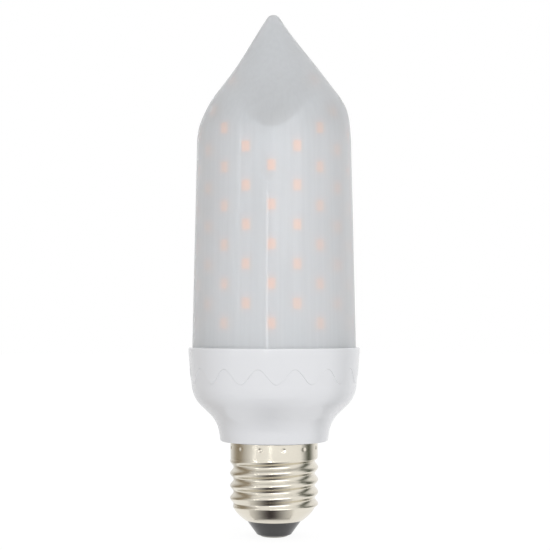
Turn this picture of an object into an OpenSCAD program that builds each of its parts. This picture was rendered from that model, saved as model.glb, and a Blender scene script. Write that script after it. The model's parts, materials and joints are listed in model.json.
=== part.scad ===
// Flame effect LED bulb with a screw cap. Millimetres, +Z up, cap at the bottom.
// The origin is the centre of the centre contact's end face. The front is towards -Y.

/* [Diffuser] */
// Outer radius of the diffuser at its foot
foot_r = 24.53; // [23.5:0.1:25]
// Outer radius of the diffuser where its shoulder starts
shoulder_r = 23.15; // [21.5:0.1:23.5]
// Height of the start of the shoulder
shoulder_z = 117; // [114:0.5:122]
// Height of the flame tip
tip_z = 156.1; // [150:0.5:164]
// Wall of the diffuser
diffuser_wall = 1.2; // [0.8:0.1:1.6]
// Sideways lean of the flame tip
tip_lean = 0.8; // [0:0.1:1.5]

/* [Housing] */
// Radius of the collar at its rim
rim_r = 25.52; // [25.4:0.05:27]
// Height of the rim
rim_z = 55.95; // [54.5:0.1:58]
// Depth of the diffuser's foot in the collar
foot_depth = 5.9; // [4:0.1:7]
// Draft angle of the collar
collar_draft = 4.6; // [3:0.1:6]
// Wall of the housing
housing_wall = 1.8; // [1.4:0.1:2.2]
// Number of waves in the collar's raised band
wave_count = 15; // [9:1:18]
// Height of the waves from trough to crest
wave_h = 4.3; // [2:0.1:5]
// Height of the wave troughs
wave_z = 45.7; // [45:0.1:47.5]
// Height of the raised band above the rest of the collar
band_proud = 0.18; // [0.1:0.02:0.3]
// Radius of the neck at its lower edge
neck_r = 16.01; // [15.2:0.1:17]
// Height of the neck's lower edge
neck_z = 28.25; // [27.9:0.05:29]
// Radius of the bowl's outward curve
bowl_curve_r = 9.55; // [8:0.1:10]
// Radius of the curve from the bowl into the neck
neck_curve_r = 9.6; // [8:0.1:10]

/* [Screw cap] */
// Outer radius of the shell's skirt
skirt_r = 12.98; // [12.9:0.01:13.1]
// Radius over the crests of the thread
crest_r = 13.1; // [13:0.01:13.2]
// Radius at the roots of the thread
root_r = 12.08; // [11.9:0.01:12.2]
// Pitch of the thread
thread_pitch = 3.629; // [3.5:0.001:3.7]
// Height of the top of the skirt
skirt_top_z = 27.9; // [27.5:0.1:28.2]
// Height of the foot of the skirt
skirt_foot_z = 23.7; // [23.4:0.1:24.2]
// Height of the lower end of the thread
thread_end_z = 8.8; // [8.4:0.1:9.4]
// Radius of the shell's lower rim
shell_rim_r = 8.7; // [8.2:0.1:9.2]
// Height of the shell's lower rim
shell_rim_z = 4.95; // [4.6:0.05:5.4]
// Thickness of the shell's sheet
sheet = 0.3; // [0.2:0.05:0.4]
// Number of crimps in the skirt
crimp_count = 12; // [6:1:16]
// Radius of the centre contact
contact_r = 4.2; // [3.6:0.1:4.6]

/* [LED board] */
// Radius of the rolled board at its flats
board_r = 20.4; // [19.8:0.1:20.8]
// Thickness of the rolled board
board_t = 0.6; // [0.4:0.1:0.8]
// Number of LED columns, a multiple of the petals
column_count = 18; // [12:3:18]
// Distance between LEDs along a column
led_pitch = 11.24; // [9:0.01:14]
// Height of the lowest LED
led_start_z = 63.1; // [58:0.1:70]
// Width of an LED package
led_w = 2.8; // [2:0.1:3]
// Length of an LED package
led_l = 3.5; // [2.8:0.1:4]
// Height of an LED package
led_h = 0.65; // [0.5:0.05:0.8]
// Number of petals at the board's top
petal_count = 3; // [2:1:3]
// Length of a petal from its notch to its tip
petal_l = 23.2; // [18:0.1:24]
// Lean of a petal from upright
petal_lean = 35; // [30:1:38]

/* [Core and driver] */
// Wall of the core tube
core_wall = 1.4; // [1:0.1:2]
// Thickness of the core tube's flange
flange_t = 1.6; // [1.2:0.1:2.4]
// Height of the bosses that carry the flange
boss_z = 44; // [43:0.1:45]
// Radius of the flange's central hole
flange_hole_r = 12.5; // [12:0.1:13]
// Width of the driver board
driver_w = 20.4; // [19:0.1:20.8]
// Thickness of the driver board
driver_t = 1.2; // [1:0.1:1.6]
// Height of the driver board's top
driver_top_z = 62; // [58:0.5:68]
// Width of the driver board's tail
tail_w = 15; // [12:0.1:16]
// Height of the tail's lower edge
tail_z = 16; // [14:0.5:19]

/* [Hidden] */
$fn = 96;

// Named clearances
slip = 0.1;          // between pieces that slide together
foot_gap = 0.12;     // round the diffuser's foot
solder_h = 0.06;     // under a soldered package
seat_gap = 0.02;     // between faces that rest on each other
roll_gap = 0.12;     // between the core tube and the rolled board
spigot_gap = 0.08;   // between the spigot and the shell

function bezier2(a, b, c, t) = (1 - t) * (1 - t) * a + 2 * t * (1 - t) * b + t * t * c;
function ease(lo, hi, v) = let (t = min(1, max(0, (v - lo) / (hi - lo)))) t * t * (3 - 2 * t);
function arc(cr, cz, r, a0, a1, n) = [for (i = [0:n]) let (a = a0 + (a1 - a0) * i / n)
    [cr + r * cos(a), cz + r * sin(a)]];
function ring_index(i, j, seg) = i * seg + (j % seg);

// A closed solid through rings of equal counts, which follow one another round a loop
module ring_loop(rings) {
    count = len(rings);
    seg = len(rings[0]);
    polyhedron(points = [for (ring = rings) each ring],
        faces = [for (i = [0:count - 1], j = [0:seg - 1]) let (n = (i + 1) % count)
            each [[ring_index(i, j, seg), ring_index(n, j, seg), ring_index(n, j + 1, seg)],
                [ring_index(i, j, seg), ring_index(n, j + 1, seg), ring_index(i, j + 1, seg)]]]);
}

// Diffuser: a tapered tube, a rounded shoulder, a slightly hollow flank and a rounded tip
foot_z = rim_z - foot_depth;
diffuser_seg = 48;
tube_taper = (foot_r - shoulder_r) / (shoulder_z - foot_z);
flank_slope = 0.767;
shoulder_reach = 8.7;
flank_reach = 6;
shoulder_corner_z = shoulder_z + shoulder_reach;
shoulder_corner_r = shoulder_r - tube_taper * shoulder_reach;
flank_z = shoulder_corner_z + flank_reach;
flank_r = shoulder_corner_r - flank_slope * flank_reach;
tip_r = 1.91;
tip_round = 0.95;
tip_start_z = tip_z - tip_round;
tip_corner_r = 1.3;
flank_bow = 0.37;
lean_start_z = shoulder_z + 2;
lean_run = 10;
return_start_z = tip_z - 18.6;
return_run = 16;
lean_return = 1.24;
diffuser_outline = [[foot_r, foot_z + seat_gap],
    for (i = [0:6]) bezier2([shoulder_r, shoulder_z], [shoulder_corner_r, shoulder_corner_z],
        [flank_r, flank_z], i / 6),
    for (i = [1:5]) bezier2([flank_r, flank_z],
        [(flank_r + tip_r) / 2 - 2 * flank_bow, (flank_z + tip_start_z) / 2],
        [tip_r, tip_start_z], i / 5),
    for (i = [1:2]) bezier2([tip_r, tip_start_z], [tip_corner_r, tip_z], [0.25, tip_z], i / 2)];
function outline_normal(i) = let (a = diffuser_outline[max(0, i - 1)],
    b = diffuser_outline[min(len(diffuser_outline) - 1, i + 1)], d = b - a) [d[1], -d[0]] / norm(d);
diffuser_inline = [for (i = [0:len(diffuser_outline) - 1]) let (
    p = diffuser_outline[i] - diffuser_wall * outline_normal(i))
    i == 0 ? [foot_r - diffuser_wall, foot_z + seat_gap]
        : [max(p[0], 0.1 + 0.04 * (len(diffuser_outline) - i)), p[1]]];
function lean_at(z) = tip_lean * (ease(lean_start_z, lean_start_z + lean_run, z)
    - lean_return * ease(return_start_z, return_start_z + return_run, z));
function diffuser_ring(p) = [for (j = [0:diffuser_seg - 1]) let (a = -360 * j / diffuser_seg)
    [p[0] * cos(a) + lean_at(p[1]), p[0] * sin(a), p[1]]];

module diffuser() {
    outer = [for (p = diffuser_outline) diffuser_ring(p)];
    inner = [for (p = diffuser_inline) diffuser_ring(p)];
    rings = [each inner, for (i = [len(outer) - 1:-1:0]) outer[i]];
    count = len(rings);
    top = len(inner) - 1;
    color("gainsboro")
    polyhedron(points = [for (ring = rings) each ring],
        faces = [for (i = [0:count - 1], j = [0:diffuser_seg - 1]) let (n = (i + 1) % count,
                s = diffuser_seg) if (i != top)
                each [[ring_index(i, j, s), ring_index(n, j, s), ring_index(n, j + 1, s)],
                    [ring_index(i, j, s), ring_index(n, j + 1, s), ring_index(i, j + 1, s)]],
            [for (j = [0:diffuser_seg - 1]) ring_index(top, j, diffuser_seg)],
            [for (j = [diffuser_seg - 1:-1:0]) ring_index(top + 1, j, diffuser_seg)]]);
}

// Housing: collar, bowl, straight slope, inward curve and neck, each tangent to the next
slope_angle = 46.2;
neck_draft = 8;
neck_straight = 2.5;
collar_top_drop = 1.5;
function collar_r(z) = rim_r - tan(collar_draft) * (rim_z - collar_top_drop - z);
bowl_drop_r = bowl_curve_r * (cos(collar_draft) - cos(slope_angle));
neck_drop_r = neck_curve_r * (cos(neck_draft) - cos(slope_angle)) + neck_straight * tan(neck_draft);
curve_h = bowl_curve_r * (sin(slope_angle) - sin(collar_draft))
    + neck_curve_r * (sin(slope_angle) - sin(neck_draft)) + neck_straight;
slope_rise = 1 / tan(slope_angle);
slope_room = collar_r(neck_z + curve_h) - band_proud - bowl_drop_r - neck_drop_r - neck_r;
slope_dr = slope_room / (1 - tan(collar_draft) * slope_rise);
bowl_z = neck_z + curve_h + slope_dr * slope_rise;
bowl_c = [collar_r(bowl_z) - band_proud - bowl_curve_r * cos(collar_draft),
    bowl_z + bowl_curve_r * sin(collar_draft)];
neck_top_r = neck_r + neck_straight * tan(neck_draft);
neck_c = [neck_top_r + neck_curve_r * cos(neck_draft),
    neck_z + neck_straight - neck_curve_r * sin(neck_draft)];
function housing_curve(inset) = [
    each arc(neck_c[0], neck_c[1], neck_curve_r + inset, 180 - neck_draft, 180 - slope_angle, 6),
    each arc(bowl_c[0], bowl_c[1], bowl_curve_r - inset, -slope_angle, -collar_draft, 6)];
edge_round = 0.4;
spigot_r = skirt_r - sheet - spigot_gap;
spigot_chamfer = 0.3;
spigot_bore_r = 11;
spigot_z = 24.2;
web_t = 2;
web_top_z = neck_z + web_t;
wave_phase = 1.6;
wave_turn = 360 / wave_count;
band_root = band_proud + 0.12;
wave_share = 0.975;
function wave_height(a) = wave_z + wave_h * (1 - cos(a * wave_count)) / 2;

boss_at = 16;
boss_r = 2.8;
screw_r = 1;
screw_hole_r = screw_r + 0.05;
screw_l = 7;
groove = driver_t + 2 * slip;
rail_t = 1.2;
rail_w = 2.4;
rail_root = 0.3;
rail_z = spigot_z + 0.3;
screw_tip_gap = 0.5;
boss_sink = 0.2;
notch_w = 1.2;
notch_depth = 1.05;
driver_shoulder_z = 25;

module band_cutter() {
    half = wave_turn / 2 * wave_share;
    rotate([90, 0, 0]) linear_extrude(rim_r + 2)
        polygon([[-rim_r * sin(half), wave_z - 1],
            for (i = [-4:4]) let (a = half * i / 4) [rim_r * sin(a), wave_height(a + wave_turn / 2)],
            [rim_r * sin(half), wave_z - 1]]);
}

module collar_band() {
    difference() {
        rotate_extrude() polygon([[collar_r(wave_z) - band_root, wave_z], [collar_r(wave_z), wave_z],
            [rim_r, rim_z - collar_top_drop], [rim_r, rim_z - edge_round],
            [rim_r - edge_round * 0.3, rim_z - edge_round * 0.3],
            [rim_r - edge_round, rim_z], [rim_r - edge_round, rim_z - collar_top_drop],
            [collar_r(rim_z - collar_top_drop) - band_root, rim_z - collar_top_drop]]);
        for (i = [0:wave_count - 1]) rotate(wave_turn * (i + 0.5) + wave_phase) band_cutter();
    }
}

module housing_body() {
    rotate_extrude() polygon([
        [spigot_bore_r, spigot_z], [spigot_r - spigot_chamfer, spigot_z],
        [spigot_r, spigot_z + spigot_chamfer],
        [spigot_r, neck_z], [neck_r - edge_round, neck_z], [neck_r, neck_z + edge_round],
        each housing_curve(0),
        [collar_r(rim_z - collar_top_drop) - band_proud, rim_z - collar_top_drop],
        [rim_r - edge_round, rim_z], [foot_r + foot_gap, rim_z], [foot_r + foot_gap, foot_z],
        [collar_r(foot_z) - band_proud - housing_wall, foot_z],
        for (p = [len(housing_curve(0)) - 1:-1:0]) housing_curve(housing_wall)[p],
        [neck_r - housing_wall + 0.3, web_top_z], [spigot_bore_r, web_top_z]]);
}

module housing_boss() {
    intersection() {
        translate([0, boss_at, neck_z]) cylinder(r = boss_r, h = boss_z - neck_z);
        rotate_extrude() polygon([[neck_r - housing_wall - boss_sink, web_top_z - boss_sink],
            each housing_curve(housing_wall / 2), [0, bowl_z], [0, web_top_z - boss_sink]]);
    }
}

// One bar on the spigot's wall next to the driver board, on the side given by 1 or -1
module spigot_bar(side, y, depth, top_z) {
    intersection() {
        translate([side > 0 ? spigot_bore_r - rail_w : -spigot_bore_r - rail_root, y, rail_z])
            cube([rail_w + rail_root, depth, top_z - rail_z]);
        cylinder(r = spigot_bore_r + rail_root, h = rim_z);
    }
}

module housing() {
    color("white")
    difference() {
        union() {
            housing_body();
            collar_band();
            for (a = [0, 180]) rotate(a) housing_boss();
            for (side = [-1, 1]) {
                spigot_bar(side, groove / 2, rail_t, web_top_z);
                spigot_bar(side, -groove / 2 - rail_t, rail_t, web_top_z);
                spigot_bar(side, -groove / 2 - rail_t / 2, groove + rail_t, driver_shoulder_z);
            }
        }
        for (a = [0, 180]) rotate(a) translate([0, boss_at, boss_z - screw_l - screw_tip_gap])
            cylinder(r = screw_hole_r, h = screw_l + 2 * screw_tip_gap, $fn = 48);
        at_crimps(crimp_out) sphere(r = crimp_ball_r + crimp_wall + slip * 2, $fn = 32);
        translate([spigot_r - notch_depth, -notch_w / 2, spigot_z - 1])
            cube([2, notch_w, neck_z - spigot_z + 1]);
    }
}

// Screw cap
crimp_z = 26.4;
crimp_phase = 0.4;
crimp_ball_r = 0.95;
crimp_out = 0.7;
crimp_wall = 0.25;
crimp_root = 0.15;
module at_crimps(out) {
    for (i = [0:crimp_count - 1]) rotate(360 / crimp_count * (i + crimp_phase))
        translate([skirt_r + out, 0, crimp_z]) children();
}
thread_seg = 32;
thread_phase = 20.5;
thread_steps = 6;
thread_rings = ceil((skirt_foot_z - thread_end_z) / thread_pitch * thread_steps);
taper_rings = 5;
function thread_r(a, z) = (crest_r + root_r) / 2 + (crest_r - root_r) / 2
    * cos(360 * ((z - thread_phase) / thread_pitch - a / 360));
function taper_r(z) = let (t = min(1, max(0, (thread_end_z - z) / (thread_end_z - shell_rim_z))))
    root_r - (root_r - shell_rim_r) * pow(t, 1.5);
lip_step = 0.07;
function shell_r(a, z) = let (top = ease(skirt_foot_z - 1.2, skirt_foot_z - 0.3, z),
    low = ease(thread_end_z + 0.9, thread_end_z - 0.5, z))
    (thread_r(a, z) * (1 - top) + (skirt_r - lip_step) * top) * (1 - low) + taper_r(z) * low;
shell_levels = [skirt_foot_z + 0.5,
    for (i = [0:thread_rings]) skirt_foot_z - 0.1 - (skirt_foot_z - 0.1 - thread_end_z) * i / thread_rings,
    for (i = [1:taper_rings]) thread_end_z - (thread_end_z - shell_rim_z) * i / taper_rings];
function shell_ring(z, inset) = [for (j = [0:thread_seg - 1]) let (a = 360 * j / thread_seg,
    r = shell_r(a, z) - inset) [r * cos(a), r * sin(a), z]];

module cap_shell() {
    color("silver") {
        difference() {
            union() {
                rotate_extrude() polygon([[skirt_r - sheet, skirt_foot_z], [skirt_r, skirt_foot_z],
                    [skirt_r, skirt_top_z], [skirt_r - sheet, skirt_top_z]]);
                intersection() {
                    at_crimps(crimp_out - crimp_root) sphere(r = crimp_ball_r + crimp_wall, $fn = 32);
                    cylinder(r = skirt_r - 0.02, h = skirt_top_z);
                }
            }
            at_crimps(crimp_out) sphere(r = crimp_ball_r, $fn = 32);
        }
        levels = len(shell_levels);
        ring_loop([for (i = [levels - 1:-1:0]) shell_ring(shell_levels[i], 0),
            for (z = shell_levels) shell_ring(z, z > skirt_foot_z ? sheet - 2 * lip_step : sheet)]);
    }
}

insulator_top_z = 8;
insulator_bore_r = 1.6;
contact_flat_r = 3.2;
contact_h = 0.5;
contact_pin_r = 1.5;
contact_pin_z = insulator_top_z + 1.1;
contact_edge = 0.3;
insulator_step = 0.5;
insulator_waist = [shell_rim_r - 2.47, shell_rim_z - 2.75];
insulator_hip = [shell_rim_r - 1.16, shell_rim_z - 0.95];
insulator_gap = 0.15;
insulator_mid_z = shell_rim_z + 1.65;
function taper_inner(z) = taper_r(z) * cos(180 / thread_seg) - sheet - insulator_gap;
module cap_insulator() {
    low = contact_h + seat_gap;
    color("dimgray")
    rotate_extrude() polygon([[insulator_bore_r, low], [contact_r + insulator_step, low],
        [contact_r + 1.3 * insulator_step + insulator_step, low + insulator_step], insulator_waist,
        insulator_hip, [shell_rim_r - sheet - insulator_gap * 2, shell_rim_z - insulator_gap],
        [taper_inner(shell_rim_z + 0.4), shell_rim_z + 0.4], [taper_inner(insulator_mid_z), insulator_mid_z],
        [taper_inner(insulator_top_z), insulator_top_z], [insulator_bore_r, insulator_top_z]]);
}

module centre_contact() {
    color("lightgray")
    rotate_extrude() polygon([[0, 0], [contact_flat_r, 0], [contact_r - contact_edge, contact_edge / 2],
        [contact_r, contact_h], [contact_pin_r, contact_h], [contact_pin_r, contact_pin_z - contact_edge],
        [contact_pin_r - contact_edge, contact_pin_z], [0, contact_pin_z]]);
}

// LED board: a rolled sheet with flats, whose petals bend in on an arc and then run straight.
// Distances along the sheet, s, are measured upwards and equal z on the upright part.
bend_z = shoulder_z + 1.4;
bend_r = 14;
bend_end = bend_z + bend_r * petal_lean * PI / 180;
notch_s = bend_z + 0.4;
column_turn = 360 / column_count;
flat_turn = column_turn / 2;
flat_count = 2 * column_count;
first_column = -92;
petal_turn = 360 / petal_count;
petal_power = 1.6;
board_foot_z = boss_z + flange_t;
function sheet_angle(s) = min(petal_lean, max(0, (s - bend_z) / bend_r * 180 / PI));
function sheet_at(s, inset) = let (a = sheet_angle(s), run = max(0, s - bend_end))
    [board_r - bend_r * (1 - cos(a)) - run * sin(a) - inset * cos(a),
        (s < bend_z ? s : bend_z + bend_r * sin(a) + run * cos(a)) - inset * sin(a)];
function from_notch(a) = let (m = ((a - first_column) % petal_turn + petal_turn) % petal_turn)
    min(m, petal_turn - m);
function board_top(a) = notch_s + petal_l * pow(from_notch(a) / (petal_turn / 2), petal_power);
board_rows = 6;
function board_ring(k, inset) = [for (j = [0:flat_count - 1]) let (
    a = first_column + flat_turn * (j + 0.5),
    s = k == 0 ? board_foot_z : bend_z + (board_top(a) - bend_z) * (k - 1) / board_rows,
    p = sheet_at(s, inset), r = p[0] / cos(flat_turn / 2)) [r * cos(a), r * sin(a), p[1]]];

module led_board() {
    color("white")
    ring_loop([for (k = [0:board_rows + 1]) board_ring(k, 0),
        for (k = [board_rows + 1:-1:0]) board_ring(k, board_t)]);
}

edge_margin = 0.6;
rows_max = floor((notch_s + petal_l - led_start_z) / led_pitch);
led_places = [for (i = [0:column_count - 1], k = [0:rows_max]) let (
    s = led_start_z + led_pitch * (k + (i % 2) / 2), a = first_column + column_turn * i)
    if (s + led_l / 2 + edge_margin < board_top(a)) [a, s]];

module at_leds(lift) {
    for (place = led_places) let (p = sheet_at(place[1], -lift), a = sheet_angle(place[1]))
        rotate(place[0]) translate([p[0], 0, p[1]]) rotate([0, -a, 0]) children();
}

module led_packages() {
    color("oldlace") at_leds(solder_h + led_h / 2) cube([led_h, led_w, led_l], center = true);
}

phosphor_t = 0.12;
phosphor_edge = 0.25;
module led_phosphors() {
    color("orange") at_leds(solder_h + led_h + seat_gap / 2 + phosphor_t / 2)
        cube([phosphor_t, led_w - 2 * phosphor_edge, led_l - 2 * phosphor_edge], center = true);
}

// Core tube
core_r = board_r - board_t - roll_gap;
core_top_z = bend_z - 4;
core_chamfer = 0.5;
flange_w = 2;
flange_r = core_r + flange_w;
screw_slack = 0.3;
window_w = 9;
window_z = board_foot_z + 2.4;
window_h = 8;
module core_tube() {
    color("ivory")
    difference() {
        rotate_extrude() polygon([[flange_hole_r, boss_z], [flange_r, boss_z], [flange_r, board_foot_z],
            [core_r, board_foot_z], [core_r, core_top_z - core_chamfer], [core_r - core_chamfer, core_top_z],
            [core_r - core_wall, core_top_z], [core_r - core_wall, board_foot_z],
            [flange_hole_r, board_foot_z]]);
        for (a = [0, 180]) rotate(a) translate([0, boss_at, boss_z - 1])
            cylinder(r = screw_r + screw_slack, h = flange_t + 2, $fn = 48);
        translate([-window_w / 2, core_r / 2, window_z]) cube([window_w, core_r, window_h]);
    }
}

screw_head_r = 2;
screw_head_h = 1.4;
screw_point = 1.2;
cross_w = 0.4;
module core_screws() {
    color("silver")
    for (a = [0, 180]) rotate(a) translate([0, boss_at, board_foot_z]) difference() {
        rotate_extrude($fn = 48) polygon([[0, -screw_l], [screw_r * 0.4, -screw_l],
            [screw_r, -screw_l + screw_point], [screw_r, 0], [screw_head_r, 0],
            [screw_head_r, screw_head_h * 0.55], [screw_head_r * 0.6, screw_head_h], [0, screw_head_h]]);
        for (b = [0, 90]) rotate(b) translate([-screw_head_r / 2, -cross_w / 2, screw_head_h / 2])
            cube([screw_head_r, cross_w, screw_head_h]);
    }
}

bead_w = 0.8;
bead_h = 1.4;
bead_gap = 0.05;
module diffuser_sealant() {
    outer = (foot_r - diffuser_wall) * cos(180 / diffuser_seg) - bead_gap;
    color("whitesmoke") rotate_extrude() polygon([[outer - bead_w, foot_z + seat_gap],
        [outer, foot_z + seat_gap], [outer - bead_gap, foot_z + bead_h]]);
}

// Driver board and what it carries. Its front face is towards -Y.
face = driver_t / 2;
pad_inset = 1.4;
pad_rise = 1.6;
pad_hole_r = 0.55;
module driver_board() {
    color("seagreen")
    translate([0, face, 0]) rotate([90, 0, 0]) linear_extrude(driver_t) difference() {
        polygon([[-tail_w / 2, tail_z], [tail_w / 2, tail_z], [tail_w / 2, driver_shoulder_z + seat_gap],
            [driver_w / 2, driver_shoulder_z + seat_gap], [driver_w / 2, driver_top_z],
            [-driver_w / 2, driver_top_z], [-driver_w / 2, driver_shoulder_z + seat_gap],
            [-tail_w / 2, driver_shoulder_z + seat_gap]]);
        for (x = [-1, 1]) translate([x * (tail_w / 2 - pad_inset), tail_z + pad_rise])
            circle(r = pad_hole_r, $fn = 32);
    }
}

// A moulded chip lying on the board: legs in two rows along Z, standing off towards -Y
leg_w = 0.4;
leg_t = 0.18;
leg_reach = 0.8;
module chip(w, l, h, legs, pitch) {
    translate([-w / 2, -h - solder_h, -l / 2]) cube([w, h, l]);
    for (x = [-1, 1], i = [0:legs - 1]) translate([x > 0 ? w / 2 - slip : -w / 2 - leg_reach,
        -h * 0.5, (i - (legs - 1) / 2) * pitch - leg_w / 2]) {
        cube([leg_reach + slip, leg_t, leg_w]);
        translate([x > 0 ? leg_reach + slip - leg_t : 0, 0, 0]) cube([leg_t, h * 0.5 - seat_gap, leg_w]);
    }
}
module on_front(x, z) { translate([x, -face, z]) children(); }
module on_back(x, z) { translate([x, face, z]) rotate(180) children(); }

chip_w = 3.9;
bridge_z = tail_z + 5;
bridge_l = 4.7;
bridge_h = 1.5;
bridge_pitch = 2.54;
chip_z = 44;
chip_l = 4.9;
controller_z = 53.5;
controller_l = 9.9;
chip_h = 1.4;
chip_pitch = 1.27;
transistor_x = 7.6;
transistor_z = 46.5;
transistor_step = 4.4;
transistor_w = 1.3;
transistor_l = 2.9;
transistor_h = 1;
module bridge_rectifier() {
    color("black") on_back(0, bridge_z) chip(chip_w, bridge_l, bridge_h, 2, bridge_pitch);
}
module driver_chip() { color("black") on_back(0, chip_z) chip(chip_w, chip_l, chip_h, 4, chip_pitch); }
module controller_chip() {
    color("black") on_back(0, controller_z) chip(chip_w, controller_l, chip_h, 8, chip_pitch);
}
module row_transistors() {
    color("black") for (side = [-1, 1], i = [0:2])
        on_back(side * transistor_x, transistor_z + transistor_step * i)
            chip(transistor_w, transistor_l, transistor_h, 1, transistor_w);
}

// A round lead: a straight run along Z, a bend and a run to the board, from the point given
lead_r = 0.3;
module bent_lead(z, from_z, to_board) {
    translate([0, 0, min(z, from_z)]) cylinder(r = lead_r, h = abs(from_z - z), $fn = 24);
    translate([0, 0, z]) sphere(r = lead_r, $fn = 24);
    translate([0, 0, z]) rotate([-90, 0, 0]) cylinder(r = lead_r, h = to_board - seat_gap, $fn = 24);
}

// A can standing along Z with its sleeve groove and two leads bent to the board
can_gap = 0.1;
can_edge = 0.5;
can_groove_z = 1.5;
can_groove = 0.35;
can_lead_z = -1.2;
module can_capacitor(r, h) {
    translate([0, -r - can_gap, 0]) {
        rotate_extrude($fn = 64) polygon([[0, 0], [r - can_edge, 0], [r, can_edge], [r, can_groove_z],
            [r - can_groove, can_groove_z + 0.4], [r, can_groove_z + 0.8],
            [r, h - can_edge], [r - can_edge, h], [0, h]]);
        for (x = [-1, 1]) translate([x * r * 0.45, 0, 0]) bent_lead(can_lead_z, slip, r + can_gap);
    }
}
input_can_z = 28;
input_can_r = 4;
input_can_h = 12;
output_can_z = 44.5;
output_can_r = 3.15;
output_can_h = 11;
module input_capacitor() {
    color("midnightblue") on_front(0, input_can_z) can_capacitor(input_can_r, input_can_h);
}
module output_capacitor() {
    color("midnightblue") on_front(0, output_can_z) can_capacitor(output_can_r, output_can_h);
}

inductor_z = 34;
inductor_r = 4;
inductor_h = 6;
inductor_lip = 1;
winding_inset = 0.3;
winding_round = 0.5;
module on_inductor() {
    translate([0, face + seat_gap, inductor_z]) rotate([-90, 0, 0]) rotate_extrude($fn = 64) children();
}
module inductor_core() {
    color("dimgray") on_inductor() polygon([[0, 0], [inductor_r, 0], [inductor_r, inductor_lip],
        [inductor_r / 2, inductor_lip], [inductor_r / 2, inductor_h - inductor_lip],
        [inductor_r, inductor_h - inductor_lip], [inductor_r, inductor_h], [0, inductor_h]]);
}
module inductor_winding() {
    inner = inductor_r / 2 + seat_gap;
    outer = inductor_r - winding_inset;
    low = inductor_lip + seat_gap;
    high = inductor_h - low;
    color("peru") on_inductor() polygon([[inner, low], [outer - winding_inset, low],
        [outer, low + winding_round], [outer, high - winding_round], [outer - winding_inset, high],
        [inner, high]]);
}

resistor_x = -2.8;
resistor_r = 1.5;
resistor_waist_r = 1.25;
resistor_end_r = 1.1;
resistor_l = 7;
resistor_off = 1.6;
resistor_lead = 0.9;
module fusible_resistor() {
    half = [[0, 0], [resistor_end_r, 0], [resistor_r, resistor_l * 0.07], [resistor_r, resistor_l * 0.19],
        [resistor_waist_r, resistor_l * 0.27]];
    color("tan") on_front(resistor_x, tail_z + 2) translate([0, -resistor_off, 0]) {
        rotate_extrude($fn = 48) polygon([each half,
            for (i = [len(half) - 1:-1:0]) [half[i][0], resistor_l - half[i][1]]]);
        bent_lead(-resistor_lead, slip, resistor_off);
        bent_lead(resistor_l + resistor_lead, resistor_l - slip, resistor_off);
    }
}

header_z = driver_top_z - 4;
header_w = 8.6;
header_d = 3.4;
header_h = 5;
header_wall = 0.5;
header_slot = 2;
header_floor = 1.2;
module board_header() {
    color("white") translate([-header_w / 2, -face - header_d - seat_gap, header_z]) difference() {
        cube([header_w, header_d, header_h]);
        translate([header_wall, (header_d - header_slot) / 2, header_floor])
            cube([header_w - 2 * header_wall, header_slot, header_h]);
    }
}

ribbon_w = 7;
ribbon_t = 0.8;
ribbon_rise = 22;
ribbon_turn = 9;
ribbon_start = [-face - seat_gap - header_d / 2, header_z + header_floor + slip];
ribbon_end = [core_r - 0.3, window_z + window_h / 2];
function ribbon_at(t) = let (a = ribbon_start, b = [ribbon_start[0], driver_top_z + ribbon_rise],
    c = [ribbon_end[0] - ribbon_turn, ribbon_end[1]], d = ribbon_end)
    pow(1 - t, 3) * a + 3 * t * pow(1 - t, 2) * b + 3 * t * t * (1 - t) * c + pow(t, 3) * d;
ribbon_steps = 16;
function ribbon_side(i) = let (t = i / ribbon_steps,
    d = ribbon_at(min(1, t + 0.01)) - ribbon_at(max(0, t - 0.01))) [d[1], -d[0]] / norm(d) * ribbon_t / 2;
module ribbon_lead() {
    color("lightgray") rotate([90, 0, 90]) translate([0, 0, -ribbon_w / 2]) linear_extrude(ribbon_w)
        polygon([for (i = [0:ribbon_steps]) ribbon_at(i / ribbon_steps) + ribbon_side(i),
            for (i = [ribbon_steps:-1:0]) ribbon_at(i / ribbon_steps) - ribbon_side(i)]);
}

// Leads: a round wire carried along a smooth curve through its points
wire_r = 0.4;
wire_sides = 8;
function spline(p, t) = let (n = len(p) - 1, i = min(n - 1, floor(t)), u = t - i,
    a = p[max(0, i - 1)], b = p[i], c = p[i + 1], d = p[min(n, i + 2)])
    0.5 * (2 * b + (c - a) * u + (2 * a - 5 * b + 4 * c - d) * u * u + (3 * b - a - 3 * c + d) * u * u * u);
module wire(points, steps) {
    n = (len(points) - 1) * steps;
    path = [for (i = [0:n]) spline(points, i / steps)];
    rings = [for (i = [0:n]) let (d = path[min(n, i + 1)] - path[max(0, i - 1)], w = d / norm(d),
        u = cross(w, [0, 1, 0]) / norm(cross(w, [0, 1, 0])), v = cross(w, u))
        [for (j = [0:wire_sides - 1]) let (a = -360 * j / wire_sides)
            path[i] + wire_r * (u * cos(a) + v * sin(a))]];
    polyhedron(points = [for (ring = rings) each ring],
        faces = [for (i = [0:n - 1], j = [0:wire_sides - 1])
                each [[ring_index(i, j, wire_sides), ring_index(i + 1, j, wire_sides),
                    ring_index(i + 1, j + 1, wire_sides)],
                    [ring_index(i, j, wire_sides), ring_index(i + 1, j + 1, wire_sides),
                    ring_index(i, j + 1, wire_sides)]],
            [for (j = [0:wire_sides - 1]) j], [for (j = [wire_sides - 1:-1:0]) n * wire_sides + j]]);
}

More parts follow.
